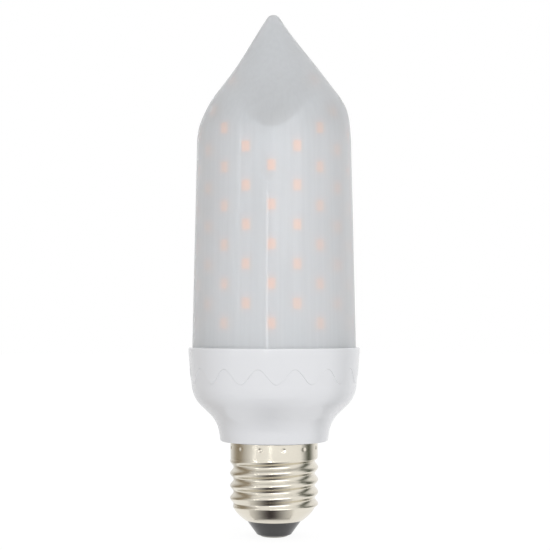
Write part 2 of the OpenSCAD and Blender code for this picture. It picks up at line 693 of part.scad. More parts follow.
wire_in = skirt_r - sheet - wire_r - 0.06;
live_points = [[0, 0, contact_pin_z + slip], [0, 0, contact_pin_z + 1.9], [-3.4, -1.6, contact_pin_z + 3.5],
    [-tail_w / 2 + 0.6, -2.6, tail_z + 1], [-tail_w / 2 + pad_inset, -1.6, tail_z + pad_rise]];
neutral_points = [[tail_w / 2 - pad_inset, -face - 0.5, tail_z + pad_rise],
    [tail_w / 2 + 0.4, -1.6, tail_z + 1.4], [wire_in - 2.52, -1.2, tail_z + 3], [wire_in - 1.52, 0, 21],
    [wire_in - 1.07, 0, 22.3], [wire_in - 0.57, 0, 23.2], [wire_in - 0.12, 0, 24.1],
    [wire_in, 0, skirt_foot_z + 1.3], [wire_in, 0, skirt_top_z - 0.9]];
module live_lead() { color("red") wire(live_points, 4); }
module neutral_lead() { color("black") wire(neutral_points, 3); }

diffuser();
housing();
cap_shell();
cap_insulator();
centre_contact();
led_board();
led_packages();
led_phosphors();
core_tube();
core_screws();
diffuser_sealant();
driver_board();
bridge_rectifier();
input_capacitor();
output_capacitor();
inductor_core();
inductor_winding();
driver_chip();
controller_chip();
row_transistors();
fusible_resistor();
board_header();
ribbon_lead();
live_lead();
neutral_lead();
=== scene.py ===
"""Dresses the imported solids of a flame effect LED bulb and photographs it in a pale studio.

Units: sizes in the classes are millimetres, as in the part's source, and MM turns them to Blender's metres.
Frame: the origin is the end of the centre contact, +Z runs up to the flame tip and -Y is the front.
"""

from __future__ import annotations

import json
import logging
import math
from dataclasses import dataclass, replace
from enum import Enum

import bpy
import numpy as np
from mathutils import Matrix

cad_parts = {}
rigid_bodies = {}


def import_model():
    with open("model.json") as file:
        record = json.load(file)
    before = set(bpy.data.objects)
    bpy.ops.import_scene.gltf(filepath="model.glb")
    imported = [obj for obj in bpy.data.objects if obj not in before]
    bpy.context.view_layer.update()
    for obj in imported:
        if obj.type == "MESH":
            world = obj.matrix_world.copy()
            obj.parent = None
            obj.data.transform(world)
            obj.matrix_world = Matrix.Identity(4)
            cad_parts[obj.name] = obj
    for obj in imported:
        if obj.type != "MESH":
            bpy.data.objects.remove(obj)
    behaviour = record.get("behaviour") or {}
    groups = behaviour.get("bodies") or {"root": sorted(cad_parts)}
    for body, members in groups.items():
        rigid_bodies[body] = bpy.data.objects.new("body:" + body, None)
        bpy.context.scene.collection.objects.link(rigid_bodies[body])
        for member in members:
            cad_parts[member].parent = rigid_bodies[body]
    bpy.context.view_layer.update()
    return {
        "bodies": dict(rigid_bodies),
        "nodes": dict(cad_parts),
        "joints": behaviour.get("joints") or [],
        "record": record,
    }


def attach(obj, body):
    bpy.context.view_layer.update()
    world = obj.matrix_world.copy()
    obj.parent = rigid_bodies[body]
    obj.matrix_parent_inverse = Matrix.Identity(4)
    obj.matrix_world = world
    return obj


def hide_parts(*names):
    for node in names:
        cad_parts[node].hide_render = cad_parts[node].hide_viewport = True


MM = 0.001
LOG = logging.getLogger("flame_bulb")
ROOT = "root"
SHARP_ANGLE = math.radians(35.0)  # Edges that bend more are shaded sharp
Skin = tuple[np.ndarray, bool]  # A grid of rings, and whether its ends are closed to poles


# Mesh helpers


def ease(low: float, high: float, value: np.ndarray | float) -> np.ndarray:
    """Smooth step: 0 at low, 1 at high, and 3t^2 - 2t^3 between them.

    Args:
        low: Value at which the step starts.
        high: Value at which it ends. It may be less than low.
        value: Where to work it out.

    Returns:
        The step's height, from 0 to 1.
    """
    t = np.clip((np.asarray(value, dtype=float) - low) / (high - low), 0.0, 1.0)
    return t * t * (3.0 - 2.0 * t)


def bezier2(a: tuple, b: tuple, c: tuple, count: int) -> np.ndarray:
    """Quadratic Bezier from a to c with its corner at b: (1-t)^2 a + 2t(1-t) b + t^2 c.

    Args:
        a: First point.
        b: Corner point.
        c: Last point.
        count: Number of points.

    Returns:
        An array of shape (count, 2).
    """
    t = np.linspace(0.0, 1.0, count)[:, None]
    return (1 - t) ** 2 * np.array(a) + 2 * t * (1 - t) * np.array(b) + t ** 2 * np.array(c)


def arc(centre: tuple, radius: float, start: float, end: float, count: int) -> np.ndarray:
    """Points on a circle: centre + radius (cos a, sin a), for a from start to end in degrees.

    Args:
        centre: The circle's centre.
        radius: Its radius.
        start: First angle in degrees.
        end: Last angle in degrees.
        count: Number of points.

    Returns:
        An array of shape (count, 2).
    """
    a = np.radians(np.linspace(start, end, count))
    return np.stack([centre[0] + radius * np.cos(a), centre[1] + radius * np.sin(a)], axis=1)


def parallel(outline: np.ndarray, gap: float) -> np.ndarray:
    """Moves each point of an outline by gap along its normal, to the left of the way it runs.

    Args:
        outline: Points of shape (n, 2).
        gap: Distance to move them.

    Returns:
        The moved points.
    """
    way = np.gradient(outline, axis=0)
    way /= np.linalg.norm(way, axis=1, keepdims=True)
    return outline + gap * np.stack([-way[:, 1], way[:, 0]], axis=1)


def angles(segments: int) -> np.ndarray:
    """Even steps round the whole circle, in radians."""
    return np.linspace(0.0, 2 * np.pi, segments, endpoint=False)


def polar(r: np.ndarray, a: np.ndarray, z: np.ndarray) -> np.ndarray:
    """Points (r cos a, r sin a, z), along one more axis than the three arrays together."""
    return np.stack(np.broadcast_arrays(r * np.cos(a), r * np.sin(a), z), axis=-1)


def turned(outline: np.ndarray, segments: int) -> np.ndarray:
    """Turns a profile of (radius, height) about Z, on a grid of profile by angle.

    Args:
        outline: Points of shape (n, 2).
        segments: Number of steps round the axis.

    Returns:
        A grid of shape (n, segments, 3).
    """
    return polar(outline[:, :1], angles(segments), outline[:, 1:])


def shell(grid: np.ndarray, poles: bool) -> tuple[np.ndarray, list[np.ndarray]]:
    """Points and faces of a closed skin through the rows of a grid, each row a ring.

    The rows run round a closed loop, or from pole to pole where poles is set: then each end ring is closed
    by triangles to its mean point.

    Args:
        grid: Rings of shape (rows, segments, 3) in millimetres.
        poles: Whether the ends are closed to poles instead of joined to each other.

    Returns:
        The points and a list of index arrays, quads and then triangles.
    """
    rows, segments = grid.shape[:2]
    index = np.arange(rows * segments).reshape(rows, segments)
    low = index[:-1] if poles else index
    high = index[1:] if poles else np.roll(index, -1, axis=0)
    quads = np.stack([low, np.roll(low, -1, axis=1), np.roll(high, -1, axis=1), high], axis=2).reshape(-1, 4)
    points = grid.reshape(-1, 3)
    faces = [quads]
    if poles:
        start, end = len(points), len(points) + 1
        points = np.vstack([points, grid[0].mean(axis=0), grid[-1].mean(axis=0)])
        a, b = index[0], index[-1]
        faces.append(np.stack([np.full(segments, start), np.roll(a, -1), a], axis=1))
        faces.append(np.stack([np.full(segments, end), b, np.roll(b, -1)], axis=1))
    return points, faces


def signed_volume(points: np.ndarray, faces: list[np.ndarray]) -> float:
    """Volume inside a closed skin: the sum of a.(b x c) / 6 over the triangles that each face is cut into.

    Args:
        points: The skin's points.
        faces: Its index arrays.

    Returns:
        The volume, below zero where the faces point inwards.
    """
    total = 0.0
    for group in faces:
        a = points[group[:, 0]]
        for k in range(1, group.shape[1] - 1):
            b, c = points[group[:, k]], points[group[:, k + 1]]
            total += float(np.einsum("ij,ij->i", a, np.cross(b, c)).sum()) / 6.0
    return total


def mesh_object(name: str, skins: list[Skin]) -> bpy.types.Object:
    """Makes one object from closed skins, each a grid of rings, with its faces outwards.

    Args:
        name: The piece's name.
        skins: Pairs of a grid in millimetres and whether it is closed to poles.

    Returns:
        The new object, at the origin.
    """
    points: list[np.ndarray] = []
    faces: list[np.ndarray] = []
    count = 0
    for grid, poles in skins:
        skin_points, skin_faces = shell(grid, poles)
        if signed_volume(skin_points, skin_faces) < 0:
            skin_faces = [group[:, ::-1] for group in skin_faces]
        faces += [group + count for group in skin_faces]
        points.append(skin_points)
        count += len(skin_points)
    corners = np.concatenate([group.ravel() for group in faces])
    sizes = np.concatenate([np.full(len(group), group.shape[1]) for group in faces])
    starts = np.concatenate([[0], np.cumsum(sizes)[:-1]])
    mesh = bpy.data.meshes.new(name)
    mesh.vertices.add(count)
    mesh.vertices.foreach_set("co", (np.vstack(points) * MM).astype(np.float32).ravel())
    mesh.loops.add(len(corners))
    mesh.loops.foreach_set("vertex_index", corners.astype(np.int32))
    mesh.polygons.add(len(sizes))
    mesh.polygons.foreach_set("loop_start", starts.astype(np.int32))
    mesh.update(calc_edges=True)
    mesh.validate()
    mesh.shade_smooth()
    mesh.set_sharp_from_angle(angle=SHARP_ANGLE)
    obj = bpy.data.objects.new(name, mesh)
    bpy.context.scene.collection.objects.link(obj)
    return obj


# Materials


def linear(colour: str) -> tuple[float, float, float, float]:
    """Turns an sRGB colour to linear light: c / 12.92 below 0.04045, ((c + 0.055) / 1.055)^2.4 above.

    Args:
        colour: Six hex digits.

    Returns:
        Red, green, blue and an alpha of 1.
    """
    parts = [int(colour[i:i + 2], 16) / 255 for i in (0, 2, 4)]
    red, green, blue = (p / 12.92 if p <= 0.04045 else ((p + 0.055) / 1.055) ** 2.4 for p in parts)
    return red, green, blue, 1.0


def add_node(
    tree: bpy.types.NodeTree, kind: str, settings: dict | None = None, **links: object
) -> bpy.types.Node:
    """Adds one node with its settings and inputs.

    Args:
        tree: The node tree.
        kind: The node's type name.
        settings: Attributes of the node, or values of inputs whose names aren't Python words.
        links: Input name, with spaces as underscores, or i and its number, to a value or to an output socket.

    Returns:
        The node.
    """
    node = tree.nodes.new(kind)
    for key, value in (settings or {}).items():
        if hasattr(node, key):
            setattr(node, key, value)
        else:
            links[key] = value
    for key, value in links.items():
        numbered = key[0] == "i" and key[1:].isdigit()
        socket = node.inputs[int(key[1:]) if numbered else key.replace("_", " ")]
        if isinstance(value, bpy.types.NodeSocket):
            tree.links.new(value, socket)
        else:
            socket.default_value = value
    return node


def empty_tree(owner: bpy.types.ID) -> bpy.types.NodeTree:
    """Turns on the nodes of a new material or world and empties its tree.

    Args:
        owner: The material or world.

    Returns:
        Its node tree.
    """
    owner.use_nodes = True
    owner.node_tree.nodes.clear()
    return owner.node_tree


def background_rays(tree: bpy.types.NodeTree) -> bpy.types.NodeSocket:
    """Tells the rays that see the background from those that carry light: the greatest of three flags.

    Args:
        tree: The node tree.

    Returns:
        A socket that is 1 for camera, glossy and transmission rays and 0 for the rest.
    """
    rays = add_node(tree, "ShaderNodeLightPath").outputs
    seen = rays["Is Camera Ray"]
    for other in ("Is Glossy Ray", "Is Transmission Ray"):
        seen = add_node(tree, "ShaderNodeMath", {"operation": "MAXIMUM"}, i0=seen, i1=rays[other]).outputs[0]
    return seen


@dataclass(frozen=True)
class Finish:
    """A finish: what the material is and how its surface was made.

    The real grain is finer than a pixel of the render, about 0.3 mm, so it is drawn coarser.

    Attributes:
        name: The material's name.
        colour: Its sRGB colour.
        roughness: Its mean roughness.
        metallic: 1 for bare metal.
        ior: Index of refraction.
        coat: Weight of a clear glossy skin.
        coat_roughness: Roughness of that skin.
        grain_mm: Size of the surface's grain in millimetres.
        grain_depth: How strongly the grain tilts the surface.
        mottle: How far the colour and roughness wander from their mean.
        cloud_mm: Size of the patches in which they wander.
    """

    name: str
    colour: str
    roughness: float = 0.4
    metallic: float = 0.0
    ior: float = 1.5
    coat: float = 0.0
    grain_mm: float = 0.4
    grain_depth: float = 0.05
    mottle: float = 0.04
    coat_roughness: float = 0.06
    cloud_mm: float = 9.0

    def shader(self, tree: bpy.types.NodeTree) -> bpy.types.Node:
        """Adds the principled shader with this finish's grain, mottled colour and roughness.

        Args:
            tree: The material's node tree.

        Returns:
            The shader's node.
        """
        place = add_node(tree, "ShaderNodeTexCoord").outputs["Object"]
        grain = add_node(tree, "ShaderNodeTexNoise", Vector=place, Scale=1.0 / (self.grain_mm * MM),
                         Detail=3.0)
        cloud = add_node(tree, "ShaderNodeTexNoise", Vector=place, Scale=1.0 / (self.cloud_mm * MM),
                         Detail=2.0)
        low, high = (self.roughness * (1 + sign * self.mottle * 2) for sign in (-1, 1))
        rough = add_node(tree, "ShaderNodeMapRange", Value=cloud.outputs["Fac"], To_Min=low, To_Max=high)
        tint = add_node(tree, "ShaderNodeMixRGB", {"blend_type": "MULTIPLY"}, Fac=self.mottle,
                        Color1=linear(self.colour), Color2=cloud.outputs["Fac"])
        bump = add_node(tree, "ShaderNodeBump", Strength=self.grain_depth, Distance=self.grain_mm * MM,
                        Height=grain.outputs["Fac"])
        shader = add_node(tree, "ShaderNodeBsdfPrincipled", Metallic=self.metallic,
                          Base_Color=tint.outputs["Color"], Roughness=rough.outputs["Result"],
                          Normal=bump.outputs["Normal"])
        if not self.metallic:
            shader.inputs["IOR"].default_value = self.ior
        shader.inputs["Coat Weight"].default_value = self.coat
        shader.inputs["Coat Roughness"].default_value = self.coat_roughness
        return shader

    def material(self) -> bpy.types.Material:
        """Makes the finish into a material once, and finds it again after that.

        Returns:
            The material.
        """
        made = bpy.data.materials.get(self.name)
        if made is None:
            made = bpy.data.materials.new(self.name)
            tree = empty_tree(made)
            add_node(tree, "ShaderNodeOutputMaterial", Surface=self.shader(tree).outputs["BSDF"])
        return made

    def dress(self, obj: bpy.types.Object) -> None:
        """Gives the finish to every slot of an object.

        Args:
            obj: The object.
        """
        if not obj.material_slots:
            obj.data.materials.append(None)
        for place in obj.material_slots:
            place.material = self.material()


@dataclass(frozen=True)
class MilkyPolycarbonate(Finish):
    """Polycarbonate with a diffusing filler: light passes and is scattered, and the outside is glossy.

    Attributes:
        transmission: Share of the light that passes.
        streak_mm: Size of the flow streaks across and along the cover.
        streak_shade: How dark the darkest streak is.
        cone_from_z: Height in millimetres at which the cone's painted shade begins.
        cone_to_z: Height at which it is complete.
        cone_shade: How dark the cone's painted shade is.
    """

    transmission: float = 0.47
    streak_mm: tuple[float, float] = (0.9, 60.0)
    streak_shade: float = 0.955
    cone_from_z: float = 112.0
    cone_to_z: float = 130.0
    cone_shade: float = 0.9

    def shader(self, tree: bpy.types.NodeTree) -> bpy.types.Node:
        """Adds the finish with light let through, flow streaks along its length and a glossy skin.

        The wall is equally thick all over. The cone's colour is a little deeper only to match the photograph,
        where it is darker
        than the tube: this is painted shade, shade = 1 below cone_from_z, cone_shade above cone_to_z.

        Args:
            tree: The material's node tree.

        Returns:
            The shader's node.
        """
        shader = super().shader(tree)
        shader.inputs["Transmission Weight"].default_value = self.transmission
        across, along = (1.0 / (size * MM) for size in self.streak_mm)
        place = add_node(tree, "ShaderNodeTexCoord").outputs["Object"]
        drawn = add_node(tree, "ShaderNodeVectorMath", {"operation": "MULTIPLY"}, i0=place,
                         i1=(across, across, along))
        streak = add_node(tree, "ShaderNodeTexNoise", Vector=drawn.outputs["Vector"], Scale=1.0, Detail=2.0)
        shade = add_node(tree, "ShaderNodeMapRange", Value=streak.outputs["Fac"], From_Min=0.3, From_Max=0.7,
                         To_Min=self.streak_shade, To_Max=1.0)
        # Painted shade: the colour is darkened over the cone, from cone_from_z up to cone_to_z.
        height = add_node(tree, "ShaderNodeSeparateXYZ", Vector=place).outputs["Z"]
        cone = add_node(tree, "ShaderNodeMapRange", {"interpolation_type": "SMOOTHSTEP"}, Value=height,
                         From_Min=self.cone_from_z * MM, From_Max=self.cone_to_z * MM, To_Min=1.0,
                         To_Max=self.cone_shade)
        shade = add_node(tree, "ShaderNodeMath", {"operation": "MULTIPLY"}, i0=shade.outputs[0],
                         i1=cone.outputs[0])
        tint = add_node(tree, "ShaderNodeVectorMath", {"operation": "SCALE"}, i0=linear(self.colour)[:3],
                        Scale=shade.outputs[0])
        tree.links.new(tint.outputs[0], shader.inputs["Base Color"])
        return shader


@dataclass(frozen=True)
class PhosphorWithPaintedGlow(Finish):
    """Silicone with phosphor, with a painted glow: a faint light of its own.

    The lamp is off. The glow isn't a measured property: it is set so that the warm spots behind the cover
    are as strong as they are in the photograph.
    """

    # Strength of the painted glow: light from a part that is no lamp.
    glow: float = 0.6

    def shader(self, tree: bpy.types.NodeTree) -> bpy.types.Node:
        """Adds the finish with its painted glow, a faint light of its own.

        Args:
            tree: The material's node tree.

        Returns:
            The shader's node.
        """
        shader = super().shader(tree)
        # Painted glow: the unlit phosphor gives off a faint light.
        shader.inputs["Emission Color"].default_value = linear(self.colour)
        shader.inputs["Emission Strength"].default_value = self.glow
        return shader


@dataclass(frozen=True)
class PrintedBoard(Finish):
    """A printed board: solder mask on the side that carries the LEDs, and a darker grey on its faces that
    look towards the axis.
    """

    back_colour: str = "626A72"

    def shader(self, tree: bpy.types.NodeTree) -> bpy.types.Node:
        """Adds the finish, with the back's colour where the face looks towards the Z axis.

        Args:
            tree: The material's node tree.

        Returns:
            The shader's node.
        """
        shader = super().shader(tree)
        place = add_node(tree, "ShaderNodeTexCoord").outputs["Object"]
        flat = add_node(tree, "ShaderNodeVectorMath", {"operation": "MULTIPLY"}, i0=place, i1=(1.0, 1.0, 0.0))
        normal = add_node(tree, "ShaderNodeNewGeometry").outputs["True Normal"]
        out = add_node(tree, "ShaderNodeVectorMath", {"operation": "DOT_PRODUCT"}, i0=flat.outputs[0],
                       i1=normal)
        back = add_node(tree, "ShaderNodeMath", {"operation": "LESS_THAN"}, i0=out.outputs["Value"], i1=0.0)
        tint = add_node(tree, "ShaderNodeMixRGB", Fac=back.outputs[0], Color1=linear(self.colour),
                        Color2=linear(self.back_colour))
        tree.links.new(tint.outputs["Color"], shader.inputs["Base Color"])
        return shader


# Blurs what is behind it, under a clear skin that keeps the lamps' long reflections sharp.
MILKY_COVER = MilkyPolycarbonate("milky_polycarbonate_moulded", "F3F5F7", roughness=0.5, ior=1.4, coat=0.35,
                                 grain_mm=0.8, grain_depth=0.01, mottle=0.02)
# Hardly seen: light crosses only one milky layer, so the warm spots stay readable.
MILKY_INSIDE = replace(MILKY_COVER, name="milky_polycarbonate_inner_face", colour="E7EDF3", coat=0.0,
                       transmission=0.97)
# An even cool white with soft bright reflections.
GLOSSY_WHITE = Finish("white_polycarbonate_glossy_moulding", "E2E3E6", roughness=0.22, coat=0.3, grain_mm=0.6,
                      grain_depth=0.01, mottle=0.02)
# Warm bright metal whose bands are the studio, a little blurred by the plating.
NICKEL_PLATE = Finish("nickel_plate_on_brass_bright", "E6E0D2", roughness=0.22, metallic=1.0, grain_mm=0.25,
                      grain_depth=0.03, mottle=0.1)
# Near black with a dull gloss.
BLACK_GLASS = Finish("black_vitrite_fired", "323132", roughness=0.3, coat=0.3, grain_mm=0.5, grain_depth=0.06)
# Grey metal with blurred highlights.
CONTACT_PLATE = Finish("contact_metal_pressed", "8E8B84", roughness=0.3, metallic=1.0, grain_mm=0.2)

# The inner pieces, which keep their solids, and their finishes

INNER_FINISHES: list[tuple[Finish, list[str]]] = [
    # The bright field behind the cover, and a grey back that ends it at the petals.
    (PrintedBoard("white_solder_mask_printed", "FAFAFA", roughness=0.35, grain_mm=0.3), ["led_board"]),
    # Warm white blocks that soften the edge of each spot.
    (Finish("led_package_moulded", "F4F1E8", roughness=0.4, grain_mm=0.2), ["led_packages"]),
    # Orange windows with a painted glow, which read as warm spots through the cover.
    (PhosphorWithPaintedGlow("phosphor_in_silicone_painted_glow", "FF9648", roughness=0.3, grain_mm=0.1, mottle=0.1),
     ["led_phosphors"]),
    # A dull cream.
    (Finish("core_polypropylene_moulded", "E8E5DC", roughness=0.5), ["core_tube"]),
    # Cool grey metal with blurred highlights.
    (Finish("zinc_plated_steel_rolled", "B9BABD", roughness=0.3, metallic=1.0), ["core_screws"]),
    # Off-white and rubbery, without a clear highlight.
    (Finish("silicone_sealant_cured", "E6E6E3", roughness=0.5), ["diffuser_sealant"]),
    # Deep green under a clear gloss.
    (Finish("green_laminate_printed", "1F6B3C", roughness=0.35, coat=0.3), ["driver_board"]),
    # A black without much shine.
    (Finish("black_epoxy_moulded", "1B1B1C", roughness=0.5),
     ["bridge_rectifier", "driver_chip", "controller_chip", "row_transistors"]),
    # Dark blue with a plastic shine.
    (Finish("capacitor_sleeve_shrunk", "20264A", roughness=0.3), ["input_capacitor", "output_capacitor"]),
    # Dark grey, dry and rough.
    (Finish("ferrite_sintered", "333437", roughness=0.7), ["inductor_core"]),
    # Shiny copper, with a relief about as coarse as the turns of wire.
    (Finish("enamelled_copper_wound", "B0642C", roughness=0.3, metallic=0.9, grain_mm=0.3, grain_depth=0.3),
     ["inductor_winding"]),
    # Sandy and dull.
    (Finish("resistor_coating_baked", "A38A60", roughness=0.55), ["fusible_resistor"]),
    # Cream with a faint shine.
    (Finish("header_nylon_moulded", "E6E0CF", roughness=0.45), ["board_header"]),
    # Plain grey with a soft shine.
    (Finish("grey_pvc_ribbon_extruded", "B9B9B9", roughness=0.45), ["ribbon_lead"]),
    # Red with a soft shine.
    (Finish("red_pvc_wire_extruded", "B01D18", roughness=0.4), ["live_lead"]),
    # Black with a soft shine.
    (Finish("black_pvc_wire_extruded", "161616", roughness=0.4), ["neutral_lead"]),
]


@dataclass
class Piece:
    """What every new piece has: the solid that it stands for and its finish."""

    node: str
    finish: Finish

    def skins(self) -> list[Skin]:
        """The piece's closed skins."""
        raise NotImplementedError

    def dress(self, obj: bpy.types.Object) -> None:
        """Gives the piece its finish."""
        self.finish.dress(obj)

    def build(self, frame: dict) -> bpy.types.Object:
        """Makes the piece in place of its solid.


        Returns:
            The new object.
        """
        obj = mesh_object(self.node + "_surface", self.skins())
        self.dress(obj)
        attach(obj, ROOT)
        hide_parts(self.node)
        LOG.info("%s: %d faces", obj.name, len(obj.data.polygons))
        return obj


# The diffuser


@dataclass
class DiffuserCover(Piece):
    """The milky cover: a tapered tube, a rounded shoulder, a slightly hollow flank and a rounded leaning tip.

    Attributes are the part's own sizes in millimetres.
    """

    foot_r: float = 24.53
    foot_z: float = 50.07
    shoulder_r: float = 23.15
    shoulder_z: float = 117.0
    shoulder_reach: tuple[float, float] = (8.7, 6.0)
    flank_slope: float = 0.767
    flank_bow: float = 0.37
    tip_r: float = 1.91
    tip_corner_r: float = 1.3
    tip_round: float = 0.95
    tip_z: float = 156.1
    wall: float = 1.2
    lean: float = 0.8
    lean_start: float = 2.0
    lean_run: float = 10.0
    lean_return: float = 1.24
    return_start: float = 18.6
    return_run: float = 16.0
    pole_r: float = 0.02
    segments: int = 256
    inner_finish: Finish = MILKY_INSIDE

    def outline(self) -> np.ndarray:
        """The outside from foot to tip: a line, and three quadratic curves that meet with shared tangents.

        Returns:
            Points of radius and height.
        """
        below, above = self.shoulder_reach
        taper = (self.foot_r - self.shoulder_r) / (self.shoulder_z - self.foot_z)
        corner = (self.shoulder_r - taper * below, self.shoulder_z + below)
        flank = (corner[0] - self.flank_slope * above, corner[1] + above)
        tip = (self.tip_r, self.tip_z - self.tip_round)
        bow = ((flank[0] + tip[0]) / 2 - 2 * self.flank_bow, (flank[1] + tip[1]) / 2)
        return np.vstack([
            np.linspace((self.foot_r, self.foot_z), (self.shoulder_r, self.shoulder_z), 40)[:-1],
            bezier2((self.shoulder_r, self.shoulder_z), corner, flank, 40)[:-1],
            bezier2(flank, bow, tip, 60)[:-1],
            bezier2(tip, (self.tip_corner_r, self.tip_z), (self.pole_r, self.tip_z), 16),
        ])

    def leaning(self, grid: np.ndarray) -> np.ndarray:
        """Moves x by lean times a step up over the shoulder less a step down to the tip.

        Args:
            grid: Rings of points, which are moved in place.

        Returns:
            The same grid.
        """
        z = grid[..., 2]
        up, down = self.shoulder_z + self.lean_start, self.tip_z - self.return_start
        back = self.lean_return * ease(down, down + self.return_run, z)
        grid[..., 0] += self.lean * (ease(up, up + self.lean_run, z) - back)
        return grid

    def skins(self) -> list[Skin]:
        """The wall: the outline, and its parallel at the wall's thickness, from tip to foot and back up.

        Returns:
            One skin, closed to poles.
        """
        outside = self.outline()
        inside = parallel(outside, self.wall)
        inside[0] = (self.foot_r - self.wall, self.foot_z)
        keep = np.r_[True, (inside[1:, 0] > 0.05) & (np.diff(inside[:, 1]) > 0)]
        inside = inside[keep]
        whole = np.vstack([outside[::-1], inside])
        return [(self.leaning(turned(whole, self.segments)), True)]

    def dress(self, obj: bpy.types.Object) -> None:
        """Gives the outside its milky finish and the faces that look inwards the clearer inner one.

        Args:
            obj: The cover.
        """
        for finish in (self.finish, self.inner_finish):
            obj.data.materials.append(finish.material())
        centres = np.empty(len(obj.data.polygons) * 3)
        normals = np.empty_like(centres)
        obj.data.polygons.foreach_get("center", centres)
        obj.data.polygons.foreach_get("normal", normals)
        inwards = (centres.reshape(-1, 3)[:, :2] * normals.reshape(-1, 3)[:, :2]).sum(axis=1) < 0
        obj.data.polygons.foreach_set("material_index", inwards.astype(np.int32))


# The housing


@dataclass
class LowerHousing(Piece):
    """The white moulding: a collar with a wavy raised band, a bowl, a slope and a neck in smooth tangency.

    Attributes are the part's own sizes in millimetres, apart from step_rows: height from the wave's line, and
    share of the band's full height there.
    """

    rim_r: float = 25.52
    rim_z: float = 55.95
    rim_drop: float = 1.5
    draft: float = 4.6
    wall: float = 1.8
    bore_r: float = 24.65
    bore_chamfer: float = 0.1
    ledge_z: float = 50.05
    waves: int = 15
    wave_h: float = 4.3
    wave_z: float = 45.7
    wave_phase: float = 1.6
    proud: float = 0.18
    step_rows: tuple[tuple[float, float], ...] = (
        (-0.10, 0.0), (-0.05, 0.04), (-0.02, 0.2), (0.0, 0.5), (0.02, 0.8), (0.05, 0.96), (0.10, 1.0))
    neck_r: float = 16.01
    neck_z: float = 28.25
    neck_draft: float = 8.0
    neck_straight: float = 2.5
    bowl_r: float = 9.55
    sweep_r: float = 9.6
    slope: float = 46.2
    edge: float = 0.4
    spigot_r: float = 12.6
    spigot_bore_r: float = 11.0
    spigot_z: float = 24.2
    chamfer: float = 0.3
    web_top_z: float = 30.25
    web_edge: float = 0.3
    boss_at: float = 16.0
    boss_r: float = 2.8
    boss_z: float = 44.0
    boss_sink: float = 0.2
    pilot_r: float = 1.05
    pilot_depth: float = 7.5
    bar_foot_z: float = 24.5
    bar_inner_r: float = 8.6
    bar_outer_r: float = 11.15
    groove: float = 1.4
    rail_t: float = 1.2
    board_seat_z: float = 25.0
    notch_w: float = 1.2
    notch_depth: float = 1.05
    crimps: int = 12
    crimp_phase: float = 0.4
    crimp_z: float = 26.4
    pocket_r: float = 1.4
    pocket_centre_r: float = 13.68
    segments: int = 540

    def collar(self, z: np.ndarray | float) -> np.ndarray:
        """Radius of the raised band, a cone that narrows downwards by the draft angle."""
        return self.rim_r - math.tan(math.radians(self.draft)) * (self.rim_z - self.rim_drop - np.asarray(z))

    def curves(self, inset: float) -> np.ndarray:
        """Neck sweep and bowl, both moved inwards by inset: two arcs whose ends share the slope's angle.

        Args:
            inset: Distance inside the outer face.

        Returns:
            Points of radius and height, upwards.
        """
        draft, neck, slope = (math.radians(a) for a in (self.draft, self.neck_draft, self.slope))
        height = (self.bowl_r * (math.sin(slope) - math.sin(draft))
                  + self.sweep_r * (math.sin(slope) - math.sin(neck)) + self.neck_straight)
        drop = (self.bowl_r * (math.cos(draft) - math.cos(slope))
                + self.sweep_r * (math.cos(neck) - math.cos(slope)) + self.neck_straight * math.tan(neck))
        width = float(self.collar(self.neck_z + height)) - self.proud - drop - self.neck_r
        width /= 1 - math.tan(draft) / math.tan(slope)
        bowl_z = self.neck_z + height + width / math.tan(slope)
        bowl = (float(self.collar(bowl_z)) - self.proud - self.bowl_r * math.cos(draft),
                bowl_z + self.bowl_r * math.sin(draft))
        neck_top = self.neck_r + self.neck_straight * math.tan(neck)
        sweep = (neck_top + self.sweep_r * math.cos(neck),
                 self.neck_z + self.neck_straight - self.sweep_r * math.sin(neck))
        return np.vstack([
            arc(sweep, self.sweep_r + inset, 180 - self.neck_draft, 180 - self.slope, 22),
            arc(bowl, self.bowl_r - inset, -self.slope, -self.draft, 26),
        ])

    def spigot(self) -> np.ndarray:
        """Grid of the spigot's outside, with a pocket under each crimp and a notch for the wire at +X.

        A pocket is part of a sphere of radius R at the distance c from the axis:
        r = c cos u - sqrt(R^2 - (c sin u)^2 - w^2), with u the angle and w the height from its centre.
        The notch is flat: r = floor / cos a.

        Returns:
            Rings from the bore's lower end up to the neck's lower face.
        """
        a = angles(self.segments)
        z = np.concatenate([
            [self.spigot_z, self.spigot_z, self.spigot_z + self.chamfer],
            np.linspace(self.crimp_z - self.pocket_r, self.crimp_z + self.pocket_r, 18),
            [self.neck_z],
        ])[:, None]
        turn = 2 * np.pi / self.crimps
        u = (np.mod(a / turn - self.crimp_phase + 0.5, 1.0) - 0.5) * turn
        inside = self.pocket_r ** 2 - (self.pocket_centre_r * np.sin(u)) ** 2 - (z - self.crimp_z) ** 2
        pocket = self.pocket_centre_r * np.cos(u) - np.sqrt(np.clip(inside, 0.0, None))
        r = np.minimum(self.spigot_r, np.where(inside > 0, pocket, self.spigot_r))
        r[1] = self.spigot_r - self.chamfer
        floor = (self.spigot_r - self.notch_depth) / np.cos(a)
        in_notch = (np.cos(a) > 0) & (np.abs(floor * np.sin(a)) < self.notch_w / 2)
        r = np.where(in_notch, np.minimum(r, floor), r)
        r[0] = self.spigot_bore_r
        return polar(r, a, z)

    def below_band(self) -> np.ndarray:
        """The outside from the neck's lower face to just under the band: a round edge and two arcs.

        Returns:
            Points of radius and height.
        """
        return np.vstack([
            [(self.neck_r - self.edge, self.neck_z)],
            arc((self.neck_r - self.edge, self.neck_z + self.edge), self.edge, -80, -5, 6),
            self.curves(0.0),
        ])

